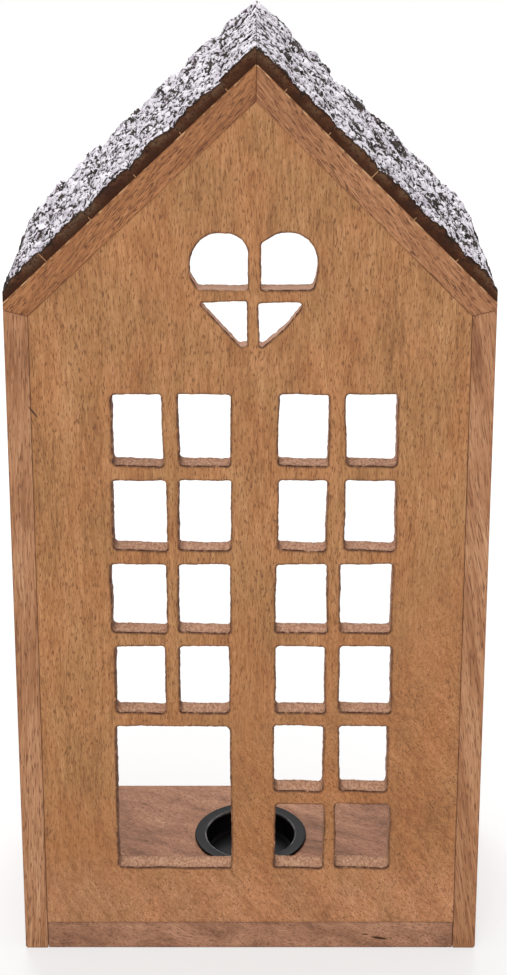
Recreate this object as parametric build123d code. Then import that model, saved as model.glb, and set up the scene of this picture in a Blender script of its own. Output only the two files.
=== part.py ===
from build123d import *
import math
import os

# Tealight house: a wooden box frame with a mitred gable roof, a fretted front panel,
# bark-clad roof slopes and a loose metal cup for a tealight in the floor.
# Millimetres, +Z up, front towards -Y, origin on the ground below the middle of the house.

# House
house_width = 200.0
house_depth = 114.0
wall_height = 297.6
eave_nose = 3.2
ridge_height = 398.5
ridge_offset = 2.6
side_thickness = 10.0
roof_thickness = 11.0
base_thickness = 13.2
board_edge_radius = 1.2

# Front panel, its panes, door and heart
panel_thickness = 9.5
panel_gap = 0.25
pane_width = 21.6
pane_height = 31.4
pane_bar = 6.2
pane_rail = 6.45
pane_rows = 6
door_rows = 2
pane_corner_radius = 1.4
first_sill_height = 40.8
left_block_centre = -33.2
right_block_centre = 35.5
heart_centre = 1.6
heart_lobe_radius = 13.5
heart_below_ridge = 82.0
heart_lobe_to_tip = 38.5
heart_bar = 5.0
heart_lobe_to_bar = 13.0

# Tealight cup
cup_bore_radius = 21.0
cup_depth = 10.5
cup_sheet = 0.8
cup_corner_radius = 2.0
cup_lip = 0.7
flange_radius = 26.5
flange_thickness = 1.2
cup_clearance = 0.4
cup_to_back_edge = 44.5

# Bark cladding: even at the sawn front, in rough plates towards the back
bark_strips_per_side = 6
ridge_strip_width = 15.5
bark_front_thickness = 5.9
bark_back_thickness = 6.9
bark_front_relief = 0.7
bark_back_relief = 2.2
bark_swell_length = 52.0
bark_plate_width = 34.0
bark_ridge_spacing = 9.5
bark_phase = 2.4
bark_edge_drop = 0.7
bark_gap = 0.5
bark_eave_round = 1.6
bark_front_setback = 0.5
bark_back_setback = 4.0
bark_rows = 15
bark_points = 7

# Square wire brads that hold the glued joints
brad_width = 1.2
brad_clearance = 0.02
base_brad_length = 30.0
eave_brad_length = 25.0
ridge_brad_length = 11.0
ridge_brad_cover = 2.3
brad_inset = 22.0

half_width = house_width / 2
front = -house_depth / 2
back = house_depth / 2
inner_half = half_width - side_thickness
eave_height = wall_height + eave_nose
LEFT, RIGHT = -1, 1


class Slope:
    """One roof slope: s runs down from the ridge, n stands square on the board's top face."""

    def __init__(self, side):
        self.side = side
        self.run = half_width - side * ridge_offset
        self.rise = ridge_height - eave_height
        self.length = math.hypot(self.run, self.rise)
        self.cos = self.run / self.length
        self.sin = self.rise / self.length
        self.tan = self.rise / self.run

    def point(self, s, n):
        """Position in the XZ plane of the point s down the slope and n above the board."""
        x = ridge_offset + self.side * (s * self.cos + n * self.sin)
        z = ridge_height - s * self.sin + n * self.cos
        return (x, z)

    def underside(self, x):
        """Height of the roof board's lower face above the ground at x."""
        return ridge_height - abs(x - ridge_offset) * self.tan - roof_thickness / self.cos


slopes = {LEFT: Slope(LEFT), RIGHT: Slope(RIGHT)}


def inner_apex():
    """Where the lower faces of the two roof boards meet."""
    left, right = slopes[LEFT], slopes[RIGHT]
    drop_left = roof_thickness / left.cos
    drop_right = roof_thickness / right.cos
    shift = (drop_left - drop_right) / (left.tan + right.tan)
    return (ridge_offset + shift, ridge_height - drop_left + shift * left.tan)


def prism(points, y_front, y_back):
    """A board with the given XZ outline, running from y_front to y_back."""
    outline = Polyline(*[(x, y_front, z) for x, z in points], close=True)
    return extrude(make_face(outline), y_back - y_front, dir=(0, 1, 0))


def brad(start, direction, length, width):
    """A square wire brad from start along direction."""
    plane = Plane(origin=start, x_dir=(0, 1, 0), z_dir=direction)
    return extrude(plane * Rectangle(width, width), length)


# Brads: each place is a start point, a direction and a length
brad_depths = (front + brad_inset, back - brad_inset)


def base_brad_places():
    """Brads driven level through the side boards into the ends of the base board."""
    for side in (LEFT, RIGHT):
        for y in brad_depths:
            yield (side * half_width, y, base_thickness / 2), (-side, 0, 0), base_brad_length


def eave_brad_places():
    """Brads driven straight down through the foot of each roof board into the side board."""
    for side in (LEFT, RIGHT):
        x = side * (half_width - side_thickness / 2)
        top = ridge_height - abs(x - ridge_offset) * slopes[side].tan
        head = top - brad_width * slopes[side].tan
        for y in brad_depths:
            yield (x, y, head), (0, 0, -1), eave_brad_length


def ridge_brad_places():
    """Brads driven level across the mitre where the roof boards meet, with wood left above their ends."""
    reach = ridge_brad_length / 2
    steepest = max(slope.tan for slope in slopes.values())
    drop = reach * steepest + ridge_brad_cover + brad_width / 2
    for y in brad_depths:
        yield (ridge_offset + reach, y, ridge_height - drop), (-1, 0, 0), ridge_brad_length


brad_groups = {
    "base_brads": list(base_brad_places()),
    "eave_brads": list(eave_brad_places()),
    "ridge_brads": list(ridge_brad_places()),
}


def nailed(board):
    """The board with a slot for every brad that reaches it."""
    for places in brad_groups.values():
        for start, direction, length in places:
            board = board - brad(start, direction, length, brad_width + 2 * brad_clearance)
    return board


def side_board(side):
    """Upright side, mitred at the top to its roof board and softened along its outer foot."""
    foot = side * half_width
    inside = side * inner_half
    top = slopes[side].underside(inside)
    board = prism([(foot, 0), (inside, 0), (inside, top), (foot, wall_height)], front, back)
    outer_foot = board.edges().filter_by(Axis.Y).group_by(Axis.Z)[0].sort_by(Axis.X)
    outer_foot = outer_foot[0] if side == LEFT else outer_foot[-1]
    return nailed(fillet(outer_foot, board_edge_radius))


def roof_board(side):
    """Roof board with a plumb nose above the eave mitre and a mitre at the ridge."""
    slope = slopes[side]
    foot = side * half_width
    inside = side * inner_half
    outline = [
        (foot, wall_height),
        (foot, eave_height),
        (ridge_offset, ridge_height),
        inner_apex(),
        (inside, slope.underside(inside)),
    ]
    return nailed(prism(outline, front, back))


cup_y = back - cup_to_back_edge
cup_wall_radius = cup_bore_radius + cup_sheet
flange_top = base_thickness + flange_thickness


def base_board():
    """Floor board between the sides, with the round hole that the cup drops into."""
    board = Pos(0, 0, base_thickness / 2) * Box(2 * inner_half, house_depth, base_thickness)
    hole = Cylinder(cup_wall_radius + cup_clearance, 2 * base_thickness)
    return nailed(board - Pos(0, cup_y, base_thickness / 2) * hole)


def pane_places():
    """Middle of every pane as x and z; the door takes the lowest rows of the left block."""
    step = pane_width + pane_bar
    for block, first_row in ((left_block_centre, door_rows), (right_block_centre, 0)):
        for row in range(first_row, pane_rows):
            z = first_sill_height + pane_height / 2 + row * (pane_height + pane_rail)
            for x in (block - step / 2, block + step / 2):
                yield x, z


def heart():
    """Heart outline from two round lobes and a point, parted in four by a cross of bars."""
    r = heart_lobe_radius
    lobes = Pos(-r, 0) * Circle(r) + Pos(r, 0) * Circle(r)
    turn = 2 * math.atan2(r, heart_lobe_to_tip)
    touch = (r + r * math.cos(turn), -r * math.sin(turn))
    tip = (0, -heart_lobe_to_tip)
    tail = Polygon((-r, 0), (-touch[0], touch[1]), tip, touch, (r, 0), align=None)
    upright = Rectangle(heart_bar, 2 * (heart_lobe_to_tip + r))
    level = Pos(0, -heart_lobe_to_bar) * Rectangle(4 * r + heart_bar, heart_bar)
    return Pos(heart_centre, ridge_height - heart_below_ridge) * (lobes + tail - upright - level)


def front_panel():
    """Gable-shaped panel set between the sides and under the roof boards."""
    edge = inner_half - panel_gap
    apex_x, apex_z = inner_apex()
    outline = [
        (-edge, base_thickness),
        (edge, base_thickness),
        (edge, slopes[RIGHT].underside(edge) - panel_gap / slopes[RIGHT].cos),
        (apex_x, apex_z - panel_gap / slopes[LEFT].cos),
        (-edge, slopes[LEFT].underside(-edge) - panel_gap / slopes[LEFT].cos),
    ]
    panel = prism(outline, front, front + panel_thickness)
    pane = RectangleRounded(pane_width, pane_height, pane_corner_radius)
    cuts = Sketch() + [Pos(x, z) * pane for x, z in pane_places()]
    door_width = 2 * pane_width + pane_bar
    door_height = door_rows * pane_height + (door_rows - 1) * pane_rail
    door = RectangleRounded(door_width, door_height, pane_corner_radius)
    cuts += Pos(left_block_centre, first_sill_height + door_height / 2) * door
    cuts += heart()
    plane = Plane(origin=(0, front, 0), x_dir=(1, 0, 0), z_dir=(0, -1, 0))
    return panel - extrude(plane * cuts, -panel_thickness)


def tealight_cup():
    """Pressed sheet cup with a flat flange that rests on the floor round the hole."""
    floor = flange_top - cup_depth
    under = floor - cup_sheet
    bend = cup_bore_radius - cup_corner_radius
    rim = flange_thickness / 3
    inside = [
        (cup_bore_radius, floor + cup_corner_radius),
        (cup_bore_radius, flange_top - cup_lip),
        (cup_bore_radius + cup_lip, flange_top),
    ]
    flange = [
        (flange_radius - rim, flange_top),
        (flange_radius, flange_top - rim),
        (flange_radius, base_thickness),
    ]
    outside = [
        (cup_wall_radius, base_thickness),
        (cup_wall_radius, under + cup_corner_radius),
        (cup_wall_radius - cup_corner_radius, under),
        (0, under),
        (0, floor),
        (bend, floor),
    ]
    profile = Polyline(*inside, *flange, *outside) + RadiusArc(outside[-1], inside[0], -cup_corner_radius)
    cup = revolve(Plane.XZ * make_face(profile), axis=Axis.Z)
    return Pos(0, cup_y, 0) * cup


def bark_height(side, number, s, y):
    """Thickness of the bark at s down the slope and y in depth: even at the sawn front, rough at the back."""
    share = (y - front) / house_depth
    phase = bark_phase * (number + side)
    depth_turn = 2 * math.pi * y / bark_swell_length
    plates = math.tanh(2 * math.sin(depth_turn + 2 * math.pi * s / bark_plate_width + phase))
    ridges = math.sin(2 * math.pi * s / bark_ridge_spacing + phase) * math.cos(2 * depth_turn - phase)
    thickness = bark_front_thickness + share * (bark_back_thickness - bark_front_thickness)
    relief = bark_front_relief + share * (bark_back_relief - bark_front_relief)
    at_ridge = min(1, s / ridge_strip_width)
    return thickness + relief * at_ridge * (2 * plates + ridges) / 3


def facet(*points):
    """A flat face through the points."""
    return Face(Wire.make_polygon(points, close=True))


def bark_strip(side, number):
    """One rough strip of bark laid front to back; strip 1 lies along the ridge."""
    slope = slopes[side]
    ridge_strip = number == 1
    eave_strip = number == bark_strips_per_side
    course = (slope.length - ridge_strip_width) / (bark_strips_per_side - 1)
    upper = 0 if ridge_strip else ridge_strip_width + (number - 2) * course
    lower = ridge_strip_width + (number - 1) * course

    def upper_edge(n):
        return bark_gap / 2 / slope.cos - n * slope.tan if ridge_strip else upper + bark_gap / 2

    def lower_edge(n):
        return slope.length - n * slope.tan if eave_strip else lower - bark_gap / 2

    def place(s, n, y):
        x, z = slope.point(s, n)
        return (x, y, z)

    def top_row(y):
        row = []
        for step in range(bark_points):
            along = step / (bark_points - 1)
            n = bark_height(side, number, upper + along * (lower - upper), y)
            n -= bark_edge_drop * (2 * along - 1) ** 2
            if eave_strip and along == 1:
                n -= bark_eave_round
            s = upper_edge(n) + along * (lower_edge(n) - upper_edge(n))
            row.append(place(s, n, y))
        return row

    def foot_row(y):
        return [place(upper_edge(0), 0, y), place(lower_edge(0), 0, y)]

    setback = bark_back_setback * (1 + math.sin(bark_phase * number + side)) / 2
    y_front = front + bark_front_setback
    y_step = (back - setback - y_front) / (bark_rows - 1)
    rows = [top_row(y_front + k * y_step) for k in range(bark_rows)]
    front_foot = foot_row(y_front)
    back_foot = foot_row(back - setback)
    faces = [
        facet(*rows[0], *reversed(front_foot)),
        facet(*rows[-1], *reversed(back_foot)),
        facet(*[row[0] for row in rows], back_foot[0], front_foot[0]),
        facet(*[row[-1] for row in rows], back_foot[1], front_foot[1]),
        facet(*front_foot, *reversed(back_foot)),
    ]
    for near, far in zip(rows, rows[1:]):
        for a, b, c, d in zip(near, near[1:], far[1:], far):
            faces += [facet(a, b, c), facet(a, c, d)]
    return Solid(Shell(faces))


def write(name, solid):
    """Write one node as its own file."""
    export_step(solid, f"parts/{name}.step")


os.makedirs("parts", exist_ok=True)
write("base_board", base_board())
write("left_side_board", side_board(LEFT))
write("right_side_board", side_board(RIGHT))
write("front_panel", front_panel())
write("left_roof_board", roof_board(LEFT))
write("right_roof_board", roof_board(RIGHT))
write("tealight_cup", tealight_cup())
for side, word in ((LEFT, "left"), (RIGHT, "right")):
    for number in range(1, bark_strips_per_side + 1):
        write(f"bark_{word}_{number}", bark_strip(side, number))
for group, places in brad_groups.items():
    brads = [brad(start, direction, length, brad_width) for start, direction, length in places]
    write(group, Compound(children=brads))
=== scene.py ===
import math

import bmesh
import bpy
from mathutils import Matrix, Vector, geometry, noise


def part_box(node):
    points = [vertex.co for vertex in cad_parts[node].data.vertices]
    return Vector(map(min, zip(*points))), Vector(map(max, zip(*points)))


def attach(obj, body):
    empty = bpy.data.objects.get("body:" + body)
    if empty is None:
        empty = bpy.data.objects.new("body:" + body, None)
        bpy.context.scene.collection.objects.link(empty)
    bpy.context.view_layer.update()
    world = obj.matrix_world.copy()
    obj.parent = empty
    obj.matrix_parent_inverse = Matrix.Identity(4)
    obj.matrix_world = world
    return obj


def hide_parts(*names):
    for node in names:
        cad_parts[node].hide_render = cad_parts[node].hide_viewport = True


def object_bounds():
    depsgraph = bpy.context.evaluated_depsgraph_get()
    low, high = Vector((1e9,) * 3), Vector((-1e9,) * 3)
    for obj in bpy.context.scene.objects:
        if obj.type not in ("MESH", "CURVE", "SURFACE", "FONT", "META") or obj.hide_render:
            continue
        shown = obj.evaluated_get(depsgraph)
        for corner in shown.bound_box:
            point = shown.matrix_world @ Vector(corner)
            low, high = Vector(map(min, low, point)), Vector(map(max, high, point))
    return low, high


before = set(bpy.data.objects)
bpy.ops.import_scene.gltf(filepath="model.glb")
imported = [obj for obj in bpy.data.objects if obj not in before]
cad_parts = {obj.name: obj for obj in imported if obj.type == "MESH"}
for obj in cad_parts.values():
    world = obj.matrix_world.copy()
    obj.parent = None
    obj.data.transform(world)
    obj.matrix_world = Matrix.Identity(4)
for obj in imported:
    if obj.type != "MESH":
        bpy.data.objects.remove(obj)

cad_low, cad_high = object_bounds()


# Base board
# The floor of the house: one planed hardwood board, greyer and pinker than the rest, with its grain
# from side to side. It lies between the side boards, nailed through them, and is bored for the cup.
MM = 0.001
base_low, base_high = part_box("base_board")
front_y = base_low.y
back_y = base_high.y
depth = back_y - front_y
cup_low, cup_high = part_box("tealight_cup")
cup_centre = Vector(((cup_low.x + cup_high.x) / 2, (cup_low.y + cup_high.y) / 2))
cup_hole_radius = 22.2 * MM
base_thickness = base_high.z - base_low.z
base_arris = 0.6 * MM
base_corner = 0.6 * MM
base_gap = 0.08 * MM
joint_dirt = 0.35
crisp_corner = 0.3 * MM
edge_point_spacing = 3 * MM
hole_point_spacing = 2 * MM
square = ((-1, -1), (1, -1), (1, 1), (-1, 1))
to_mm = (1 / MM, 1 / MM, 1 / MM)


def outline(corners, radii, spacing, inset=0.0):
    """Closed outline with each corner turned by an arc; inset draws it in, and a minus lets it out."""
    arcs = []
    for i, corner in enumerate(corners):
        here = Vector(corner)
        behind = (Vector(corners[i - 1]) - here).normalized()
        ahead = (Vector(corners[(i + 1) % len(corners)]) - here).normalized()
        half = behind.angle(ahead) / 2
        radius = max(radii[i] - inset, crisp_corner)
        inwards = (behind + ahead).normalized()
        apex = here + inwards * (inset / math.sin(half))
        centre = apex + inwards * (radius / math.sin(half))
        first = apex + behind * (radius / math.tan(half)) - centre
        last = apex + ahead * (radius / math.tan(half)) - centre
        steps = max(3, math.ceil(radii[i] * (math.pi - 2 * half) / spacing))
        arcs.append([centre + first.lerp(last, k / steps).normalized() * radius for k in range(steps + 1)])
    points = []
    for i, arc in enumerate(arcs):
        following = (i + 1) % len(corners)
        side_length = (Vector(corners[following]) - Vector(corners[i])).length
        runs = max(1, round(side_length / spacing))
        points += arc
        points += [arc[-1].lerp(arcs[following][0], k / runs) for k in range(1, runs)]
    return points


def outward(points):
    """Unit vectors out of a closed outline, one for each of its points."""
    turning = sum(a.x * b.y - b.x * a.y for a, b in zip(points, points[1:] + points[:1]))
    result = []
    for before, after in zip(points[-1:] + points[:-1], points[1:] + points[:1]):
        along = (after - before).normalized() * math.copysign(1, turning)
        result.append(Vector((along.y, -along.x)))
    return result


def pushed(points, distances):
    """The outline with each point moved outwards by its own distance."""
    return [p + n * d for p, n, d in zip(points, outward(points), distances)]


def waves(a, b, size_a, size_b, seed):
    """Smooth noise from -1 to 1 over two lengths, in waves of about the given sizes."""
    return noise.noise(Vector((a / size_a, b / size_b, seed)))


def wander(points, size, amount, seed):
    """A smooth hand-made departure for each point, in waves of about size."""
    return [amount * waves(p.x, p.y, size, size, seed) for p in points]


def worn_edge(corners, radii, thickness, arris, soil, seed, place, wear=0.03 * MM):
    """Rings down the edge of a board, with both arrises rounded, dirt in them, and a little wear."""
    bevel = 0.3 * arris
    # Depth, inset and dirt of each ring, from the front face to the clean wood of the edge
    front_half = [
        (0, arris + 0.8 * MM, 0.0),
        (0, arris, 0.4 * soil),
        (bevel, bevel, soil),
        (arris, 0, 0.6 * soil),
        (arris + 1.0 * MM, 0, 0.0),
    ]
    back_half = [(thickness - down, inset, dirty) for down, inset, dirty in reversed(front_half)]
    plain = outline(corners, radii, edge_point_spacing)
    wear_and_highlight = [d - wear for d in wander(plain, 14 * MM, wear, seed)]
    stack = []
    for down, inset, dirty in front_half + back_half:
        ring = pushed(outline(corners, radii, edge_point_spacing, inset), wear_and_highlight)
        stack.append(([place(p, down) for p in ring], [dirty] * len(ring), 0))
    return stack


def holds(ring, x, y):
    """Whether the closed ring of flat points goes round the point."""
    inside = False
    for (x1, y1), (x2, y2) in zip(ring, ring[1:] + ring[:1]):
        if (y1 > y) != (y2 > y) and x < x1 + (y - y1) * (x2 - x1) / (y2 - y1):
            inside = not inside
    return inside


def fill(bm, rings):
    """A flat face inside the first ring of vertices and outside the others."""
    first = rings[0]
    spans = [max(v.co[axis] for v in first) - min(v.co[axis] for v in first) for axis in range(3)]
    a, b = [axis for axis in range(3) if axis != spans.index(min(spans))]
    verts, links, owners, flat_rings = [], [], [], []
    for number, ring in enumerate(rings):
        start = len(verts)
        verts += ring
        owners += [number] * len(ring)
        links += [(start + k, start + (k + 1) % len(ring)) for k in range(len(ring))]
        flat_rings.append([(v.co[a], v.co[b]) for v in ring])
    flat = [Vector((v.co[a], v.co[b])) for v in verts]
    _, _, triangles, origins, _, _ = geometry.delaunay_2d_cdt(flat, links, [], 1, 1e-7)
    for triangle in triangles:
        corners = [origins[k][0] for k in triangle]
        owner = {owners[k] for k in corners}
        if len(owner) == 1 and owner != {0}:
            x, y = sum((flat[k] for k in corners), Vector((0, 0))) / 3
            if holds(flat_rings[owner.pop()], x, y):
                continue
        bm.faces.new([verts[k] for k in corners])


def made_piece(name, bm):
    """The finished mesh as a piece of the scene."""
    mesh = bpy.data.meshes.new(name)
    bm.to_mesh(mesh)
    bm.free()
    piece = bpy.data.objects.new(name, mesh)
    bpy.context.scene.collection.objects.link(piece)
    return piece


def carve(name, stacks):
    """A solid with a filled front and back; each stack holds the rings of one edge, front to back."""
    bm = bmesh.new()
    marks_and_shade = bm.verts.layers.float.new("marks_and_shade")
    fronts, backs = [], []
    for stack in stacks:
        rows = []
        for points, burnt, _ in stack:
            row = [bm.verts.new(p) for p in points]
            for vert, share in zip(row, burnt):
                vert[marks_and_shade] = share
            rows.append(row)
        for near, far, (_, _, finish) in zip(rows, rows[1:], stack):
            for k in range(len(near)):
                face = bm.faces.new((near[k - 1], near[k], far[k], far[k - 1]))
                face.material_index = finish
                face.smooth = True
        fronts.append(rows[0])
        backs.append(rows[-1])
    fill(bm, fronts)
    fill(bm, backs)
    bmesh.ops.recalc_face_normals(bm, faces=bm.faces[:])
    return made_piece(name, bm)


def stand_for(piece, body, slot, *nodes):
    """The piece moves with the body and is shown instead of these nodes."""
    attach(piece, body)
    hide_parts(*nodes)


def shade(red, green, blue):
    """Linear colour of an 8-bit screen colour."""
    result = []
    for value in (red, green, blue):
        value = value / 255
        result.append(value / 12.92 if value <= 0.04045 else ((value + 0.055) / 1.055) ** 2.4)
    return (*result, 1.0)


def new_material(name):
    """An empty node material."""
    material = bpy.data.materials.new(name)
    material.use_nodes = True
    material.node_tree.nodes.clear()
    return material


def add(tree, kind, inputs=None, **options):
    """A shader node with its options set and its inputs filled or joined."""
    made = tree.nodes.new("ShaderNode" + kind)
    for option, value in options.items():
        setattr(made, option, value)
    for key, value in (inputs or {}).items():
        if isinstance(value, bpy.types.NodeSocket):
            tree.links.new(value, made.inputs[key])
        else:
            made.inputs[key].default_value = value
    return made


def position(tree):
    """Place on the piece in metres, in the frame that all the pieces share."""
    return add(tree, "TexCoord").outputs["Object"]


def in_mm(tree, spot):
    """The place in millimetres."""
    return add(tree, "Mapping", {"Vector": spot, "Scale": to_mm}).outputs[0]


def reach_along(tree, spot, direction):
    """How far the place lies along a direction, in metres."""
    return add(tree, "VectorMath", {0: spot, 1: direction}, operation="DOT_PRODUCT").outputs["Value"]


def even_noise(tree, per_metre, detail=3.0):
    """Noise alike in all directions, with this many blotches to the metre."""
    spread = {"Vector": position(tree), "Scale": per_metre, "Detail": detail}
    return add(tree, "TexNoise", spread).outputs[0]


def stretched_noise(tree, place, sizes, detail=2.0, roughness=0.5):
    """Noise whose blotches are about the given sizes in millimetres."""
    scale = tuple(1 / size for size in sizes)
    scaled = add(tree, "VectorMath", {0: place, 1: scale}, operation="MULTIPLY").outputs[0]
    spread = {"Vector": scaled, "Scale": 1.0, "Detail": detail, "Roughness": roughness}
    return add(tree, "TexNoise", spread).outputs[0]


def rise(tree, value, low, high, top=1.0):
    """0 at low and beyond, top at high and beyond, and smooth between; low may be the greater."""
    limits = {"Value": value, "From Min": low, "From Max": high, "To Max": top}
    return add(tree, "MapRange", limits, interpolation_type="SMOOTHSTEP").outputs[0]


def blend(tree, share, first, second, way="MIX"):
    """Two colours mixed by share."""
    return add(tree, "Mix", {0: share, 6: first, 7: second}, data_type="RGBA", blend_type=way).outputs[2]


def tinted(tree, share, colour, tint):
    """The colour multiplied by a tint, by share."""
    return blend(tree, share, colour, (*tint, 1.0), "MULTIPLY")


def combined(tree, first, second, way="ADD"):
    """Two numbers added, or put together in another way."""
    return add(tree, "Math", {0: first, 1: second}, operation=way).outputs[0]


def ramp(tree, value, stops):
    """Colour along a row of stops, each a place and a colour."""
    made = add(tree, "ValToRGB", {0: value})
    row = made.color_ramp.elements
    while len(row) < len(stops):
        row.new(1.0)
    for element, (place, colour) in zip(row, stops):
        element.position = place
        element.color = colour
    return made.outputs[0]


def wood_place(tree, look, turn, sample):
    """Position in millimetres with the grain upright, bent as the tree grew."""
    skewed = add(tree, "Mapping", {"Vector": position(tree), "Rotation": (0, 0, look["skew"])}).outputs[0]
    inputs = {"Vector": skewed, "Location": sample, "Rotation": (0, turn, 0), "Scale": to_mm}
    straight = add(tree, "Mapping", inputs).outputs[0]
    slow = add(tree, "VectorMath", {0: straight, 1: look["bends"]}, operation="MULTIPLY").outputs[0]
    drift = add(tree, "TexNoise", {"Vector": slow, "Scale": 1.0, "Detail": 2.0}).outputs[1]
    sway = {0: drift, 1: (look["sway"], look["sway"], 0.0), 2: straight}
    return add(tree, "VectorMath", sway, operation="MULTIPLY_ADD").outputs[0]


def wood_colour(tree, place, look):
    """Colour, pore relief and fibre of oiled open-pored hardwood."""
    tones = look["tones"]
    cloud = stretched_noise(tree, place, look["cloud_size"], 2.0)
    band = stretched_noise(tree, place, look["band_size"], 3.0, 0.6)
    fibre = stretched_noise(tree, place, look["fibre_size"], 2.0, 0.6)
    pore = stretched_noise(tree, place, look["pore_size"], 1.0, 0.5)
    share = look["clouds"]
    cloud_part = combined(tree, cloud, share, "MULTIPLY")
    band_part = combined(tree, band, 1 - share, "MULTIPLY")
    tone = combined(tree, cloud_part, band_part)
    if look["rings"]:
        from_pith = {0: place, 1: (0.1, 1.0, 0.2), 2: look["pith"]}
        from_pith = add(tree, "VectorMath", from_pith, operation="MULTIPLY_ADD").outputs[0]
        years = add(tree, "VectorMath", {0: from_pith}, operation="LENGTH").outputs["Value"]
        ring = add(tree, "Math", {0: combined(tree, years, 1.1, "MULTIPLY")}, operation="SINE").outputs[0]
        tone = combined(tree, tone, combined(tree, ring, look["rings"], "MULTIPLY"))
    colour = ramp(tree, tone, list(zip((0.30, 0.41, 0.50, 0.59, 0.70), tones)))
    colour = blend(tree, rise(tree, fibre, 0.50, 0.70, look["fibres"]), colour, tones[0])
    colour = blend(tree, rise(tree, fibre, 0.46, 0.28, 0.3), colour, tones[4])
    pores = rise(tree, pore, look["pore_from"], look["pore_from"] + 0.12, look["pores"])
    colour = blend(tree, pores, colour, look["pore"])
    relief = combined(tree, combined(tree, fibre, 0.35, "MULTIPLY"), pores, "SUBTRACT")
    return colour, relief, fibre


def finish_surface(tree, inputs):
    """A surface with these inputs, given to the material."""
    shader = add(tree, "BsdfPrincipled", inputs).outputs[0]
    add(tree, "OutputMaterial", {"Surface": shader})


def wood_surface(tree, colour, relief, fibre, shine):
    """Satin oiled surface over the colour, with open pores."""
    pore_depth = 0.25 * MM
    bump = add(tree, "Bump", {"Strength": 0.35, "Distance": pore_depth, "Height": relief}).outputs[0]
    rough = combined(tree, rise(tree, fibre, 0.2, 0.8, 0.2), 0.46)
    inputs = {"Base Color": colour, "Roughness": rough, "Normal": bump, "Specular IOR Level": shine}
    finish_surface(tree, inputs)


def soiled_and_shaded(tree, colour, dirt):
    """The colour with dirt, saw burn and painted shade where the edges are marked, broken up so that it looks
    worked in.
    """
    mark = add(tree, "Attribute", attribute_name="marks_and_shade").outputs["Fac"]
    patchy = even_noise(tree, 420.0)
    share = combined(tree, mark, rise(tree, patchy, 0.22, 0.52), "MULTIPLY")
    return blend(tree, share, colour, dirt)


def gouged(tree, colour, start, end, width):
    """The colour with a dark gouge in the front face from start to end, each an X and a Z."""
    gouge_depth = 0.8 * MM
    run = Vector(end) - Vector(start)
    middle = (Vector(start) + Vector(end)) / 2
    inputs = {
        "Vector": position(tree),
        "Location": (middle.x, front_y, middle.y),
        "Rotation": (0, math.atan2(-run.y, run.x), 0),
        "Scale": (run.length / 2, gouge_depth, width / 2),
    }
    along = add(tree, "Mapping", inputs, vector_type="TEXTURE").outputs[0]
    away = add(tree, "VectorMath", {0: along}, operation="LENGTH").outputs["Value"]
    return blend(tree, rise(tree, away, 1.1, 0.6), colour, shade(66, 38, 24))


def board_wood(name, look, turn, sample, gouges=(), pale_arris=None):
    """The whole finish of a plain board; the last argument is a direction and how far that way the pale arris
    lies.
    """
    material = new_material(name)
    tree = material.node_tree
    colour, relief, fibre = wood_colour(tree, wood_place(tree, look, turn, sample), look)
    colour = soiled_and_shaded(tree, colour, look["dirt"])
    for start, end, width in gouges:
        colour = gouged(tree, colour, start, end, width)
    if pale_arris:
        direction, top = pale_arris
        reach = reach_along(tree, position(tree), direction)
        at_arris = rise(tree, reach, top - 0.8 * MM, top - 0.2 * MM)
        patchy = rise(tree, even_noise(tree, 260.0), 0.46, 0.62, 0.75)
        share = combined(tree, at_arris, patchy, "MULTIPLY")
        colour = blend(tree, share, colour, shade(208, 165, 120))
    wood_surface(tree, colour, relief, fibre, look["shine"])
    return material


# Sizes of the figure in mm, across and along the grain; strengths of its marks from 0 to 1
base_look = {
    "tones": (shade(110, 78, 60), shade(144, 103, 80), shade(163, 118, 92),
              shade(178, 132, 104), shade(196, 150, 120)),
    "clouds": 0.65,
    "cloud_size": (10, 10, 46),
    "rings": 0.0,
    "skew": math.radians(24),
    "band_size": (2.2, 2.2, 16),
    "fibre_size": (0.6, 0.6, 3.6),
    "fibres": 0.5,
    "bends": (0.02, 0.02, 0.02),
    "sway": 26.0,
    "pore": shade(92, 58, 42),
    "pores": 0.6,
    "pore_from": 0.56,
    "pore_size": (0.5, 0.5, 2.0),
    "shine": 0.12,
    "dirt": shade(92, 60, 44),
}


def down_from_floor(p, down):
    """Point of a level outline at a depth below the top of the base board."""
    return Vector((p.x, p.y, base_high.z - down))


base_left = base_low.x + base_gap
base_right = base_high.x - base_gap
base_corners = [(base_left, front_y), (base_right, front_y), (base_right, back_y), (base_left, back_y)]
base_radii = [base_corner] * 4
base_edge = worn_edge(base_corners, base_radii, base_thickness, base_arris, joint_dirt, 3.1,
                      down_from_floor)
# Four corner arcs that all but meet make the round hole
hole_corners = [cup_centre + Vector(corner) * cup_hole_radius for corner in square]
hole_radii = [0.9999 * cup_hole_radius] * 4
# Depth and let-out of each ring: a collar, a small bevel, the bore, and a collar underneath
hole_steps = (
    (0, 0.8 * MM),
    (0, 0.2 * MM),
    (0.4 * MM, 0),
    (base_thickness, 0),
    (base_thickness, 0.8 * MM),
)
hole_edge = []
for down, let_out in hole_steps:
    ring = outline(hole_corners, hole_radii, hole_point_spacing, -let_out)
    hole_edge.append(([down_from_floor(p, down) for p in ring], [0.0] * len(ring), 0))
base_board = carve("base-board", [base_edge, hole_edge])
slit = [
    ((48.9 * MM, 7.1 * MM), (53.0 * MM, 6.9 * MM), 0.7 * MM),
    ((53.0 * MM, 5.8 * MM), (61.6 * MM, 4.4 * MM), 1.3 * MM),
]
base_wood = board_wood("base wood", base_look, math.radians(78), (11, 40, 25), slit)
base_board.data.materials.append(base_wood)
stand_for(base_board, "house", "base_wood", "base_board")


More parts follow.
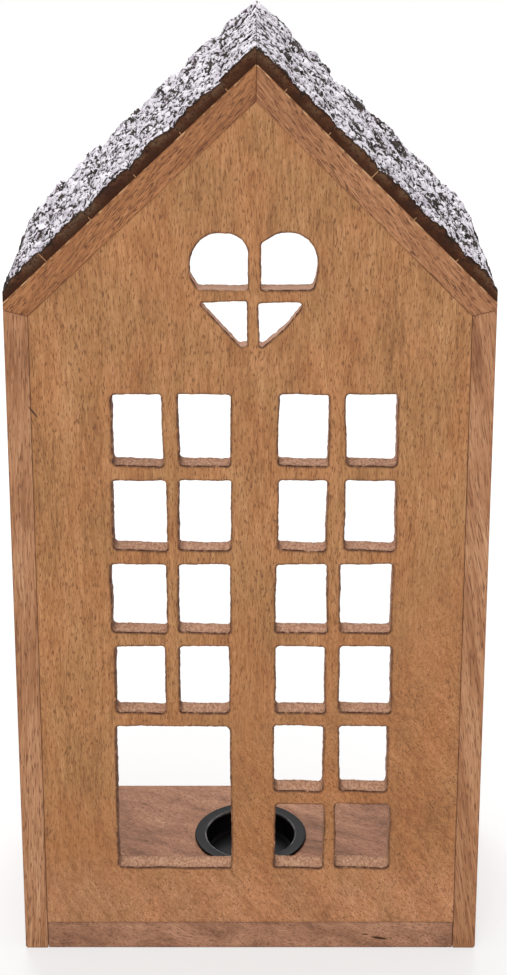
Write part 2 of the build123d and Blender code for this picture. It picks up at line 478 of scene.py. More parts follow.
# Side boards
# Two upright hardwood boards, one each side, pinker than the front and streaked along their length.
# Each is mitred at the top to its roof board, glued and nailed to the base, and softened at the foot.
LEFT, RIGHT = -1, 1
side_word = {LEFT: "left", RIGHT: "right"}
half_width = cad_high.x
_, left_side_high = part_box("left_side_board")
inner_half = -left_side_high.x
wall_top = left_side_high.z
_, left_roof_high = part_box("left_roof_board")
ridge = Vector((left_roof_high.x, left_roof_high.z))
eave_nose = 3.2 * MM
roof_thickness = 11 * MM
foot_radius = 1.2 * MM
inner_foot_radius = 0.4 * MM
side_arris = 0.16 * MM
side_gap = 0.05 * MM
mitre_gap = 0.01 * MM


class Slope:
    """One roof slope in the XZ plane: s runs down from the ridge, n stands square on the roof board."""

    def __init__(self, side):
        self.eave = Vector((side * half_width, wall_top + eave_nose))
        self.length = (self.eave - ridge).length
        self.down = (self.eave - ridge).normalized()
        self.up = Vector((self.down.y * -side, self.down.x * side))
        self.tan = abs(self.down.y / self.down.x)
        self.cos = abs(self.down.x)

    def point(self, s, n):
        """Point at s down the slope and n above the roof board."""
        return ridge + self.down * s + self.up * n

    def underside(self, x):
        """Height of the roof board's lower face at x."""
        return ridge.y - abs(x - ridge.x) * self.tan - roof_thickness / self.cos


slopes = {LEFT: Slope(LEFT), RIGHT: Slope(RIGHT)}
knock = ((-91.2 * MM, 256.8 * MM), (-87.0 * MM, 251.0 * MM), 0.9 * MM)
side_look = {
    "tones": (shade(128, 82, 52), shade(150, 101, 67), shade(166, 116, 80),
              shade(178, 129, 93), shade(192, 145, 107)),
    "clouds": 0.4,
    "cloud_size": (5, 5, 120),
    "rings": 0.05,
    "pith": (40, -46, 0),
    "skew": 0.0,
    "band_size": (1.2, 1.2, 26),
    "fibre_size": (0.5, 0.5, 8),
    "fibres": 0.6,
    "bends": (0.02, 0.02, 0.008),
    "sway": 9.0,
    "pore": shade(98, 58, 36),
    "pores": 0.75,
    "pore_from": 0.56,
    "pore_size": (0.48, 0.48, 5.5),
    "shine": 0.25,
    "dirt": shade(96, 60, 40),
}


def back_from_front(p, down):
    """Point of an upright outline at a depth behind the front face."""
    return Vector((p.x, front_y + down, p.y))


for side in (LEFT, RIGHT):
    inside = side * (inner_half + side_gap)
    corners = [
        (side * half_width, 0.0),
        (inside, 0.0),
        (inside, slopes[side].underside(inside) - mitre_gap),
        (side * half_width, wall_top - mitre_gap),
    ]
    radii = [foot_radius, inner_foot_radius, crisp_corner, crisp_corner]
    edge = worn_edge(corners, radii, depth, side_arris, joint_dirt, 7.7 + side, back_from_front)
    board = carve(f"{side_word[side]}-side-board", [edge])
    sample = (60 * side, 21, 13 * side)
    lean = math.radians(3 + 5 * side)
    wood = board_wood(f"{side_word[side]} side wood", side_look, lean, sample, [knock])
    board.data.materials.append(wood)
    stand_for(board, "house", "frame_wood", f"{side_word[side]}_side_board")


# Front panel
# One flat board of golden hardwood with upright grain, set between the sides and under the roof. Its panes,
# door and heart are sawn out by hand, so the edges wander, the cuts are rough and the arrises are burnt;
# painted shade darkens the left side of each opening.
panel_low, panel_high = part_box("front_panel")
panel_thickness = panel_high.y - panel_low.y
panel_gap = 0.04 * MM
panel_arris = 0.15 * MM
pane_width = 21.6 * MM
pane_height = 31.4 * MM
pane_bar = 6.2 * MM
pane_rail = 6.45 * MM
first_sill = 40.8 * MM
block_centres = (-33.2 * MM, 35.5 * MM)
pane_rows = 6
door_rows = 2
edge_lean = 0.35 * MM
sill_fall = 0.3 * MM
pane_corner = 1.5 * MM
pane_corner_spread = 0.6 * MM
saw_drift = 0.4 * MM
saw_spacing = 0.8 * MM
apex_play = 0.4 * MM
# How far the left and right edges of each pane stray from the pencil line, in mm, from the top row down
strays = (
    ((1, 0), (0.5, 1.5), (-0.5, 1), (0.5, 0)),
    ((0.5, 0.5), (0.5, 0.5), (0, 0), (0, -0.5)),
    ((1, 0), (1, -0.5), (0, 0), (0, -0.5), (-0.5, -1), (0, -0.5)),
    ((1, 0.5), (1, 0.5), (-0.5, -0.5), (-0.5, 0), (0, -1), (-1.5, 0.5)),
)
panel_look = {
    "tones": (shade(130, 85, 49), shade(153, 104, 63), shade(168, 117, 73),
              shade(178, 126, 83), shade(192, 143, 96)),
    "clouds": 0.4,
    "cloud_size": (11, 11, 60),
    "rings": 0.0,
    "skew": 0.0,
    "band_size": (1.3, 1.3, 11),
    "fibre_size": (0.5, 0.5, 3.4),
    "fibres": 0.55,
    "bends": (0.02, 0.02, 0.008),
    "sway": 9.0,
    "pore": shade(104, 63, 36),
    "pores": 0.75,
    "pore_from": 0.56,
    "pore_size": (0.46, 0.46, 2.4),
    "shine": 0.25,
    # Dark colour for dirty and burnt arrises, and for the painted shade at the left of each opening
    "dirt": shade(88, 53, 33),
}


def clamp(value, low=0.0, high=1.0):
    """The value, held between low and high."""
    return max(low, min(high, value))


def unsteady(seed):
    """A repeatable hand tremor from -1 to 1."""
    return clamp(1.8 * noise.noise(Vector((seed * 3.17, seed * 1.31 + 0.5, 4.2))), -1.0)


def sawn_opening(corners, radii, seed, left_wall_shade=0.7, scorch=1.0, flare=0.0):
    """Rings through the panel round one opening, from the face to the back.

    Painted shade darkens its left wall, by the amount after the seed; scorch darkens the edge of its sill,
    and flare is how much wider it is behind, in mm.
    """
    plain = outline(corners, radii, saw_spacing)
    drift = wander(plain, 11 * MM, min(saw_drift, 0.5 * min(radii)), seed)
    heat_and_shade, wall_shade = [], []
    for n, uneven in zip(outward(plain), wander(plain, 4 * MM, 0.4, seed + 2)):
        sill_heat = 1.3 * scorch * max(0.0, -n.y)
        # Painted shade: the left arris is darkened as if the left side of the opening lay in shade
        left_arris_shade = 0.9 * max(0.0, -n.x)
        other_heat = 0.75 * max(0.0, n.x, n.y)
        heat_and_shade.append(clamp(sill_heat + left_arris_shade + other_heat + uneven))
        # Painted shade on the left wall, through its whole depth
        wall_shade.append(left_wall_shade * max(0.0, -n.x))
    back = panel_thickness / MM
    # Depth and let-out in mm, share of the saw burn and painted shade, raggedness in mm, and the finish from
    # there on
    steps = [
        (0.0, 1.1, 0.0, 0.0, 0),
        (0.0, 0.5, 0.8, 0.2, 0),
        (0.1, 0.15, 1.0, 0.28, 1),
        (0.4, 0.0, 1.0, 0.28, 1),
        (0.95, 0.0, 0.25, 0.12, 1),
        (2.6, 0.0, 0.0, 0.1, 1),
        (5.0, 0.0, 0.0, 0.1, 1),
        (7.6, 0.0, 0.0, 0.12, 1),
        (back - 0.4, 0.0, 0.3, 0.32, 1),
        (back, 0.3, 0.4, 0.25, 0),
        (back, 1.2, 0.0, 0.0, 0),
    ]
    stack = []
    for turn, (down, let_out, burnt, ragged, finish) in enumerate(steps):
        chips = wander(plain, 1.8 * MM, ragged * MM, seed + 5 * turn)
        let_out += flare * down / back
        ring = outline(corners, radii, saw_spacing, -let_out * MM)
        ring = pushed(ring, [a + b for a, b in zip(drift, chips)])
        marks_and_shade = [max(burnt * h, k if finish else 0.0) for h, k in zip(heat_and_shade, wall_shade)]
        stack.append(([back_from_front(p, down * MM) for p in ring], marks_and_shade, finish))
    return stack


def pane(left, right, head, sill, seed):
    """A hand-sawn rectangular opening."""
    left_lean, right_lean, head_lean, sill_lean = [edge_lean * unsteady(seed + k) for k in range(4)]
    half_fall = sill_fall + 0.6 * sill_lean
    corners = [
        (left + left_lean, sill + half_fall),
        (right + right_lean, sill - half_fall),
        (right - right_lean, head + head_lean),
        (left - left_lean, head - head_lean),
    ]
    radii = [pane_corner + pane_corner_spread * unsteady(seed + 0.37 * k) for k in range(4)]
    return sawn_opening(corners, radii, seed)


openings = []
for column, column_strays in enumerate(strays):
    middle = block_centres[column // 2] + (column % 2 - 0.5) * (pane_width + pane_bar)
    for row, (left_stray, right_stray) in enumerate(column_strays):
        sill = first_sill + (pane_rows - 1 - row) * (pane_height + pane_rail)
        left = middle - pane_width / 2 + left_stray * MM
        right = middle + pane_width / 2 + right_stray * MM
        openings.append(pane(left, right, sill + pane_height, sill, 1.7 + 10 * column + row))
door_width = 2 * pane_width + pane_bar
door_height = door_rows * pane_height + (door_rows - 1) * pane_rail
door_left = block_centres[0] - door_width / 2
openings.append(pane(door_left, door_left + door_width, first_sill + door_height, first_sill, 57.3))

# Heart: two round lobes above a level bar and two points below it, in mm from the top of the crossing;
# then the rounding of each corner, how dark the saw burnt it, and how far the cut flares to the back
heart_centre = 1.6 * MM
bar_top = 306.2 * MM
left_lobe = [(-22.4, 0), (-2.5, 0), (-2.5, 23.6), (-25.8, 23.6), (-25.6, 5.4)]
right_lobe = [(2.9, 0), (24.0, 0), (25.6, 9.5), (25.6, 23.6), (10.0, 23.9), (2.9, 19.6)]
left_point = [(-22.4, -5.4), (-5.6, -23.9), (-2.9, -23.6), (-2.9, -4.8)]
right_point = [(1.7, -5.5), (2.4, -25.2), (12.6, -16.4), (20.4, -5.6)]
heart_pieces = [
    (left_lobe, (1.0, 0.8, 9.2, 12.0, 6.0), 0.25, 0.5),
    (right_lobe, (1.0, 2.0, 10.0, 11.5, 8.0, 2.0), 0.8, 0.3),
    (left_point, (0.7, 0.6, 0.5, 0.6), 0.35, 1.0),
    (right_point, (1.2, 0.8, 14.0, 1.2), 0.5, 1.0),
]
for number, (corners, radii, scorch, flare) in enumerate(heart_pieces):
    corners = [(heart_centre + x * MM, bar_top + z * MM) for x, z in corners]
    radii = [r * MM for r in radii]
    openings.append(sawn_opening(corners, radii, 71.9 + number, 0.1, scorch, flare))

panel_edge_x = inner_half - panel_gap
left_drop = roof_thickness / slopes[LEFT].cos
right_drop = roof_thickness / slopes[RIGHT].cos
apex_shift = (left_drop - right_drop) / (slopes[LEFT].tan + slopes[RIGHT].tan)
inner_apex = (ridge.x + apex_shift, ridge.y - left_drop + apex_shift * slopes[LEFT].tan)
panel_corners = [
    (-panel_edge_x, base_high.z),
    (panel_edge_x, base_high.z),
    (panel_edge_x, slopes[RIGHT].underside(panel_edge_x) - panel_gap),
    (inner_apex[0], inner_apex[1] + apex_play),
    (-panel_edge_x, slopes[LEFT].underside(-panel_edge_x) - panel_gap),
]
panel_radii = [crisp_corner] * 5
panel_edge = worn_edge(panel_corners, panel_radii, panel_thickness, panel_arris, joint_dirt, 12.4,
                       back_from_front)
front_panel = carve("front-panel", [panel_edge, *openings])

panel_wood = new_material("panel wood")
tree = panel_wood.node_tree
panel_place = wood_place(tree, panel_look, 0.0, (0, 8, 0))
panel_colour, panel_relief, panel_fibre = wood_colour(tree, panel_place, panel_look)
spot = position(tree)
# Low down on the right the grain turns, so it shows as short speckles
speckled_look = dict(
    panel_look,
    tones=(shade(124, 77, 45), shade(150, 98, 59), shade(167, 113, 70),
           shade(178, 123, 81), shade(192, 141, 96)),
    band_size=(1.4, 1.4, 4.0),
    fibre_size=(0.55, 0.55, 1.3),
    pore_size=(0.5, 0.5, 1.0),
    pores=0.9,
)
speckled_place = wood_place(tree, speckled_look, math.radians(35), (40, 8, 70))
speckled_colour = wood_colour(tree, speckled_place, speckled_look)[0]
low_and_right = reach_along(tree, spot, (0.6, 0.0, -0.8))
speckled = rise(tree, low_and_right, -125 * MM, -45 * MM, 0.85)
panel_colour = blend(tree, speckled, panel_colour, speckled_colour)
# The board drifts between a warmer and a greyer brown, and it is painted paler at the foot, a painted light
# that lifts the shade near the floor
warmer = (1.025, 0.98, 0.96)
greyer = (0.96, 0.99, 0.98)
painted_foot_light = (1.18, 1.26, 1.5)
hue = stretched_noise(tree, panel_place, (16, 16, 34), 2.0)
panel_colour = tinted(tree, rise(tree, hue, 0.48, 0.64), panel_colour, warmer)
panel_colour = tinted(tree, rise(tree, hue, 0.52, 0.36), panel_colour, greyer)
height = reach_along(tree, spot, (0, 0, 1))
panel_colour = tinted(tree, rise(tree, height, 55 * MM, 20 * MM), panel_colour, painted_foot_light)
# The marked arrises take the dark colour: dirt, saw burn, and painted shade at the left edges of the openings
panel_colour = gouged(tree, soiled_and_shaded(tree, panel_colour, panel_look["dirt"]), *knock)
wood_surface(tree, panel_colour, panel_relief, panel_fibre, panel_look["shine"])

sawn_wood = new_material("sawn wood")
tree = sawn_wood.node_tree
spot = position(tree)
sawn_place = in_mm(tree, spot)
tooth = stretched_noise(tree, sawn_place, (0.9, 2.2, 0.9), 3.0, 0.65)
speck = stretched_noise(tree, sawn_place, (0.8, 0.8, 0.8), 2.0, 0.6)
sawn_colour = blend(tree, rise(tree, tooth, 0.35, 0.65), shade(220, 176, 146), shade(176, 130, 104))
sawn_colour = blend(tree, rise(tree, speck, 0.55, 0.66, 0.6), sawn_colour, shade(132, 88, 66))
# The cuts are painted browner towards the foot, a painted shade that evens out the back lamp on the low
# sills, and palest in the heart, a painted light where its cuts lie in shade
height = reach_along(tree, spot, (0, 0, 1))
sawn_colour = tinted(tree, rise(tree, height, 240 * MM, 80 * MM), sawn_colour, (0.78, 0.76, 0.72))
sawn_colour = blend(tree, rise(tree, height, 255 * MM, 285 * MM, 0.7), sawn_colour, shade(252, 214, 188))
# The marked walls take the dark colour: saw burn near the face and painted shade on the left walls
sawn_colour = soiled_and_shaded(tree, sawn_colour, shade(70, 38, 24))
sawn_bump = add(tree, "Bump", {"Strength": 0.7, "Distance": 0.5 * MM, "Height": tooth}).outputs[0]
sawn_inputs = {
    "Base Color": sawn_colour,
    "Roughness": 0.85,
    "Normal": sawn_bump,
    "Specular IOR Level": 0.2,
}
finish_surface(tree, sawn_inputs)

front_panel.data.materials.append(panel_wood)
front_panel.data.materials.append(sawn_wood)
stand_for(front_panel, "house", "panel_wood", "front_panel")


# Roof boards
# Two reddish hardwood boards, mitred to each other at the ridge and to the sides at the eaves, and nailed.
# Their front edges show over the panel with strong streaks that run a little steeper than the slope.
roof_arris = 0.35 * MM
roof_wear = 0.005 * MM
roof_dirt = 0.2
eave_corner = 0.6 * MM
streak_lean = math.radians(7)
roof_look = {
    "tones": (shade(108, 65, 36), shade(134, 84, 50), shade(152, 99, 59),
              shade(165, 110, 68), shade(180, 126, 82)),
    "clouds": 0.3,
    "cloud_size": (5, 5, 70),
    "rings": 0.0,
    "skew": 0.0,
    "band_size": (1.0, 1.0, 14),
    "fibre_size": (0.40, 0.40, 4.5),
    "fibres": 0.6,
    "bends": (0.02, 0.02, 0.008),
    "sway": 9.0,
    "pore": shade(84, 46, 27),
    "pores": 0.85,
    "pore_from": 0.55,
    "pore_size": (0.40, 0.40, 3.4),
    "shine": 0.25,
    "dirt": shade(96, 58, 38),
}
# The left board keeps the darker tones, partly its own colour and partly painted shade for the shade under
# the bark; the right board is pinker
pinker_tones = (shade(116, 72, 45), shade(143, 93, 60), shade(161, 110, 72),
                shade(174, 121, 83), shade(190, 139, 99))
roof_looks = {LEFT: roof_look, RIGHT: dict(roof_look, tones=pinker_tones)}
for side in (LEFT, RIGHT):
    slope = slopes[side]
    inside = side * (inner_half + side_gap)
    seam = ridge.x + side * mitre_gap
    corners = [
        (side * half_width, wall_top + mitre_gap),
        tuple(slope.eave),
        (seam, ridge.y),
        (inner_apex[0] + side * mitre_gap, inner_apex[1]),
        (inside, slope.underside(inside) + mitre_gap),
    ]
    radii = [crisp_corner, eave_corner, crisp_corner, crisp_corner, crisp_corner]
    edge = worn_edge(corners, radii, depth, roof_arris, roof_dirt, 21.3 + side, back_from_front, roof_wear)
    board = carve(f"{side_word[side]}-roof-board", [edge])
    pitch = math.atan(slope.tan) + streak_lean
    turn = side * (math.pi / 2 - pitch)
    sample = (33, 50 + 30 * side, 17)
    top_arris = ((slope.up.x, 0.0, slope.up.y), slope.up.dot(ridge))
    wood = board_wood(f"{side_word[side]} roof wood", roof_looks[side], turn, sample, pale_arris=top_arris)
    board.data.materials.append(wood)
    stand_for(board, "house", "frame_wood", f"{side_word[side]}_roof_board")


# Brads
# Square steel wire brads, driven through the glued joints at the foot, the eaves and the ridge.
# Only the heads at the foot reach the air, flush with the side boards.
brad_steel = new_material("dull brad steel")
tree = brad_steel.node_tree
drawn = even_noise(tree, 2500.0, 2.0)
steel_colour = blend(tree, rise(tree, drawn, 0.3, 0.7), shade(122, 116, 110), shade(92, 84, 76))
steel_rough = rise(tree, drawn, 0.2, 0.9, 0.6)
steel_inputs = {"Base Color": steel_colour, "Metallic": 1.0, "Roughness": steel_rough}
finish_surface(tree, steel_inputs)
for group in ("base_brads", "eave_brads", "ridge_brads"):
    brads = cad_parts[group].data
    brads.materials.clear()
    brads.materials.append(brad_steel)


# Bark strips
# Six strips of thick bark on each slope, laid front to back and glued down. White paint is brushed over
# the craggy top, so the plates are white and the furrows dark. The sawn ends show the brown inside.
strips_per_side = 6
ridge_strip_width = 15.5 * MM
painted_gap = 0.1 * MM
front_thickness = 5.9 * MM
back_thickness = 6.9 * MM
front_relief = 0.7 * MM
back_relief = 2.2 * MM
swell_length = 52 * MM
plate_width = 34 * MM
ridge_spacing = 9.5 * MM
strip_phase = 2.4
edge_drop = 0.7 * MM
eave_round = 1.6 * MM
bark_mesh_size = 0.55 * MM
crag_width = 3.2 * MM
crag_length = 6.4 * MM
crag_bend = 1.1 * MM
crag_drift = 1.8 * MM
crag_lift = 0.75 * MM
crumb_height = 0.35 * MM
crevice_depth = 0.5 * MM
slope_step = 0.5 * MM
joint_wobble = 0.2 * MM
front_chips = 0.35 * MM
back_chips = 1.6 * MM
glue_gap = 0.02 * MM
right_calm = 0.7
bare_share = {LEFT: 0.12, RIGHT: 0.32}
# The strips whose upper joint shows pale almost to the top; the other joints show pale only low down
open_joint = {LEFT: 6, RIGHT: 4}


def step(low, high, value):
    """Smooth step from 0 at low to 1 at high."""
    t = clamp((value - low) / (high - low))
    return t * t * (3 - 2 * t)


def bark_body(side, number, s, y):
    """Thickness of the strip in its main plates: even at the sawn front, rough at the back."""
    share = (y - front_y) / depth
    phase = strip_phase * (number + side)
    depth_turn = 2 * math.pi * y / swell_length
    plates = math.tanh(2 * math.sin(depth_turn + 2 * math.pi * s / plate_width + phase))
    ridges = math.sin(2 * math.pi * s / ridge_spacing + phase) * math.cos(2 * depth_turn - phase)
    thickness = front_thickness + share * (back_thickness - front_thickness)
    relief = front_relief + share * (back_relief - front_relief)
    if side == RIGHT:
        relief *= right_calm
    return thickness + relief * min(1, s / ridge_strip_width) * (2 * plates + ridges) / 3


def crags(s, y, seed):
    """Height over the body of the bark, nearness to a crevice, and lift of the small plate here."""
    bend = crag_bend * waves(s, y, 3 * MM, 5 * MM, seed)
    drift = crag_drift * waves(s, y, 3 * MM, 5 * MM, seed + 5)
    distances, cells = noise.voronoi(Vector(((s + bend) / crag_width, (y + drift) / crag_length, seed)))
    crevice = 1 - step(0.0, 0.24, distances[1] - distances[0])
    lift = noise.noise(cells[0] * 3.7)
    crumb = noise.fractal(Vector((s / (2.2 * MM), y / (2.8 * MM), seed + 9)), 1.0, 2.0, 3)
    return crag_lift * lift + crumb_height * crumb - crevice_depth * crevice, crevice, lift


def bark_skin(side, s, y, seed):
    """Fine relief of the bark, and how much paint the brush leaves there: little in gaps and on steps."""
    skin, crevice, lift = crags(s, y, seed)
    behind = crags(s, y + slope_step, seed)[0]
    steep = step(0.35, 1.0, abs(behind - skin) / slope_step)
    bare = step(0.12, 0.42, waves(s, y, 8 * MM, 14 * MM, seed + 17))
    paint = 0.69 - 0.22 * crevice - 0.35 * steep - bare_share[side] * bare + 0.25 * lift
    return skin, clamp(paint)


def bark_strip(node, side, number):
    """A closed strip of bark: a rough painted top over cut ends and sides."""
    slope = slopes[side]
    node_low, node_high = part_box(node)
    course = (slope.length - ridge_strip_width) / (strips_per_side - 1)
    upper = 0.0 if number == 1 else ridge_strip_width + (number - 2) * course
    lower = ridge_strip_width + (number - 1) * course
    seed = 13.7 * number + 101.3 * side
    across = math.ceil((lower - upper) / bark_mesh_size)
    along = math.ceil((node_high.y - node_low.y) / bark_mesh_size)
    pale_from = 0.25 if number == open_joint[side] else 0.7

    def ends(n, y):
        """Where the strip starts and stops down the slope at height n: plumb at the ridge and the eave."""
        ragged = joint_wobble * waves(y, number, 4 * MM, 1, seed)
        begin = upper + painted_gap / 2 + ragged
        stop = lower - painted_gap / 2 + ragged
        if number == 1:
            begin = painted_gap / 2 / slope.cos - n * slope.tan
        if number == strips_per_side:
            stop = slope.length - n * slope.tan
        return begin, stop

    def cut(s, v, n):
        """Y at share v between the sawn front and the broken back, both a little uneven."""
        y_from = node_low.y + front_chips * abs(waves(s, n, 1.8 * MM, 2 * MM, seed + 31))
        y_to = node_high.y - back_chips * abs(waves(s, n, 5 * MM, 6 * MM, seed + 37))
        return y_from + v * (y_to - y_from)

    def skin_point(u, v, fall):
        """Point at shares u down the slope, v to the back and fall below the top, and its paint."""
        s = upper + u * (lower - upper)
        y = cut(s, v, 0.0)
        skin, paint = bark_skin(side, s, y, seed)
        n = bark_body(side, number, s, y) - edge_drop * (2 * u - 1) ** 2 + skin
        if number == strips_per_side:
            n -= eave_round * step(0.80, 1.0, u)
            paint -= 0.9 * step(0.82, 0.95, u + 0.1 * skin / MM)
        n *= 1 - fall
        paint -= 0.9 * step(0.1, 0.6, fall)
        if fall > 0:
            y = cut(s, v, n)
        begin, stop = ends(n, y)
        place = slope.point(begin + u * (stop - begin), n + glue_gap)
        x = clamp(place.x, cad_low.x, cad_high.x)
        z = min(cad_high.z, place.y)
        return Vector((x, y, z)), paint

    bm = bmesh.new()
    paint_layer = bm.verts.layers.float.new("paint")
    fresh_and_lit_layer = bm.verts.layers.float.new("fresh_and_lit")
    under_layer = bm.verts.layers.float.new("under")

    def vert(i, j, fall):
        """Vertex of the grid, with what the materials need to know of its place."""
        place, paint = skin_point(i / across, j / along, fall)
        made = bm.verts.new(place)
        made[paint_layer] = paint
        made[fresh_and_lit_layer] = 1.0 if i == 0 and number > 1 and fall > pale_from else 0.0
        made[under_layer] = fall
        return made

    grid = [[vert(i, j, 0.0) for j in range(along + 1)] for i in range(across + 1)]
    for near, far in zip(grid, grid[1:]):
        for a, b, c, d in zip(near, near[1:], far[1:], far):
            bm.faces.new((a, b, c, d))
    rim = [(i, 0) for i in range(across)]
    rim += [(across, j) for j in range(along)]
    rim += [(i, along) for i in range(across, 0, -1)]
    rim += [(0, j) for j in range(along, 0, -1)]
    row = [grid[i][j] for i, j in rim]
    for fall in (0.05, 0.3, 0.62, 0.8, 1.0):
        below = [vert(i, j, fall) for i, j in rim]
        for k in range(len(row)):
            face = bm.faces.new((row[k - 1], row[k], below[k], below[k - 1]))
            (i1, j1), (i2, j2) = rim[k - 1], rim[k]
            at_end = j1 == j2 and j1 in (0, along)
            at_eave = number == strips_per_side and i1 == i2 == across
            face.material_index = 1 if fall > 0.1 and (at_end or at_eave) else 0
        row = below
    bm.faces.new(row).material_index = 1
    for face in bm.faces:
        face.smooth = True
    bmesh.ops.recalc_face_normals(bm, faces=bm.faces[:])
    strip = made_piece(f"bark-{side_word[side]}-{number}", bm)
    strip.data.set_sharp_from_angle(angle=math.radians(50))
    return strip


snowy_bark = new_material("snowy bark")
tree = snowy_bark.node_tree
bark_place = in_mm(tree, position(tree))
crumbs = stretched_noise(tree, bark_place, (1.3, 4.5, 1.3), 3.0, 0.6)
clouds = stretched_noise(tree, bark_place, (5, 7, 5), 3.0, 0.6)
brushed = add(tree, "Attribute", attribute_name="paint").outputs["Fac"]
flecks = combined(tree, combined(tree, crumbs, 0.5, "SUBTRACT"), 1.7, "MULTIPLY")
cover = rise(tree, combined(tree, brushed, flecks), 0.42, 0.64)
white = blend(tree, rise(tree, clouds, 0.38, 0.66), shade(234, 229, 236), shade(196, 188, 199))
bare_bark = blend(tree, rise(tree, clouds, 0.35, 0.65), shade(32, 25, 22), shade(60, 49, 43))
bark_colour = blend(tree, cover, bare_bark, white)
bark_bump = add(tree, "Bump", {"Strength": 0.8, "Distance": 0.7 * MM, "Height": crumbs}).outputs[0]
bark_inputs = {
    "Base Color": bark_colour,
    "Roughness": 0.9,
    "Normal": bark_bump,
    "Specular IOR Level": 0.15,
}
finish_surface(tree, bark_inputs)

cut_bark = new_material("sawn bark")
tree = cut_bark.node_tree
spot = position(tree)
bark_place = in_mm(tree, spot)
cork = stretched_noise(tree, bark_place, (1.1, 1.1, 1.1), 4.0, 0.7)
tone = stretched_noise(tree, bark_place, (9, 9, 9), 2.0)
cut_tones = (shade(61, 39, 28), shade(90, 55, 35), shade(103, 75, 54))
cut_colour = ramp(tree, tone, list(zip((0.40, 0.50, 0.60), cut_tones)))
# The left slope is sawn from greyer bark, and every strip is blackest just under its paint, partly a black
# edge of the bark and partly a painted shadow line under the painted top
to_the_right = reach_along(tree, spot, (1, 0, 0))
cut_colour = tinted(tree, rise(tree, to_the_right, 10 * MM, -30 * MM), cut_colour, (1.0, 1.07, 1.16))
cut_colour = blend(tree, rise(tree, cork, 0.48, 0.66, 0.85), cut_colour, shade(32, 22, 17))
under = add(tree, "Attribute", attribute_name="under").outputs["Fac"]
cut_colour = blend(tree, rise(tree, under, 0.1, 0.9, 0.85), cut_colour, shade(58, 30, 16))
cut_colour = blend(tree, rise(tree, under, 0.30, 0.05, 0.8), cut_colour, shade(24, 17, 14))
# Pale tan at the upper joints: partly the fresh inside of the bark and partly a painted highlight for the lit
# side of the strip
fresh_and_lit = add(tree, "Attribute", attribute_name="fresh_and_lit").outputs["Fac"]
cut_colour = blend(tree, rise(tree, fresh_and_lit, 0.1, 0.55), cut_colour, shade(176, 132, 94))
cut_bump = add(tree, "Bump", {"Strength": 0.8, "Distance": 0.6 * MM, "Height": cork}).outputs[0]
cut_inputs = {
    "Base Color": cut_colour,
    "Roughness": 0.9,
    "Normal": cut_bump,
    "Specular IOR Level": 0.15,
}
finish_surface(tree, cut_inputs)

for side in (LEFT, RIGHT):
    for number in range(1, strips_per_side + 1):
        node = f"bark_{side_word[side]}_{number}"
        strip = bark_strip(node, side, number)
        strip.data.materials.append(snowy_bark)
        strip.data.materials.append(cut_bark)
        stand_for(strip, "house", "bark", node)


# Tealight cup
# A cup pressed from sheet metal and painted satin black. Its flat flange lies on the floor round the hole,
# the rim is rolled over smoothly, and the cup lifts out by hand.
cup_bore = 21 * MM
cup_sheet = 0.8 * MM
cup_corner = 2.0 * MM
rim_roll = 0.7 * MM
flange_radius = (cup_high.x - cup_low.x) / 2
flange_top = cup_high.z
flange_foot = base_high.z
cup_floor = cup_low.z + cup_sheet
cup_sides = 128


def bend_points(centre, radius, start, end, steps=6):
    """Points of an arc in the cup's section, by angle in degrees."""
    result = []
    for k in range(steps + 1):
        angle = math.radians(start + (end - start) * k / steps)
        result.append((centre[0] + radius * math.cos(angle), centre[1] + radius * math.sin(angle)))
    return result


edge_roll = (flange_top - flange_foot) / 2
section = [(0.0, cup_floor), (cup_bore * 0.5, cup_floor)]
section += bend_points((cup_bore - cup_corner, cup_floor + cup_corner), cup_corner, -90, 0)
section += bend_points((cup_bore + rim_roll, flange_top - rim_roll), rim_roll, 180, 90)
section += bend_points((flange_radius - edge_roll, flange_foot + edge_roll), edge_roll, 90, -90, 8)
section += [(cup_bore + cup_sheet, flange_foot)]
section += bend_points((cup_bore - cup_corner + cup_sheet, cup_low.z + cup_corner), cup_corner, 0, -90)
section += [(0.0, cup_low.z)]

bm = bmesh.new()
first = [bm.verts.new((cup_centre.x + r, cup_centre.y, z)) for r, z in section]
path = [bm.edges.new(pair) for pair in zip(first, first[1:])]
bmesh.ops.spin(bm, geom=first + path, cent=(cup_centre.x, cup_centre.y, 0), axis=(0, 0, 1),
               angle=2 * math.pi, steps=cup_sides, use_merge=True)
bmesh.ops.remove_doubles(bm, verts=bm.verts[:], dist=0.005 * MM)
bmesh.ops.recalc_face_normals(bm, faces=bm.faces[:])
for face in bm.faces:
    face.smooth = True
cup = made_piece("tealight-cup", bm)

satin_black = new_material("satin black paint")
tree = satin_black.node_tree
spot = position(tree)
orange_peel = even_noise(tree, 900.0)
smears = even_noise(tree, 90.0)
cup_colour = blend(tree, rise(tree, smears, 0.35, 0.7), shade(15, 15, 17), shade(23, 23, 25))
# A pale grey line is painted along the rolled rim, a painted highlight where the rim would catch the light
from_axis = add(tree, "VectorMath", {0: spot, 1: (*cup_centre, 0.0)}, operation="SUBTRACT").outputs[0]
from_axis = add(tree, "VectorMath", {0: from_axis, 1: (1.0, 1.0, 0.0)}, operation="MULTIPLY").outputs[0]
from_axis = add(tree, "VectorMath", {0: from_axis}, operation="LENGTH").outputs["Value"]
height = reach_along(tree, spot, (0, 0, 1))
near_bore = rise(tree, from_axis, cup_bore + 1.3 * rim_roll, cup_bore + 0.5 * rim_roll)
near_top = rise(tree, height, flange_top - 1.6 * rim_roll, flange_top - 0.9 * rim_roll)
wear_and_highlight = combined(tree, near_bore, near_top, "MULTIPLY")
wear_and_highlight = combined(tree, wear_and_highlight, rise(tree, smears, 0.30, 0.62, 0.7), "MULTIPLY")
cup_colour = blend(tree, wear_and_highlight, cup_colour, shade(150, 150, 154))
cup_rough = combined(tree, rise(tree, smears, 0.3, 0.7, 0.12), 0.3)
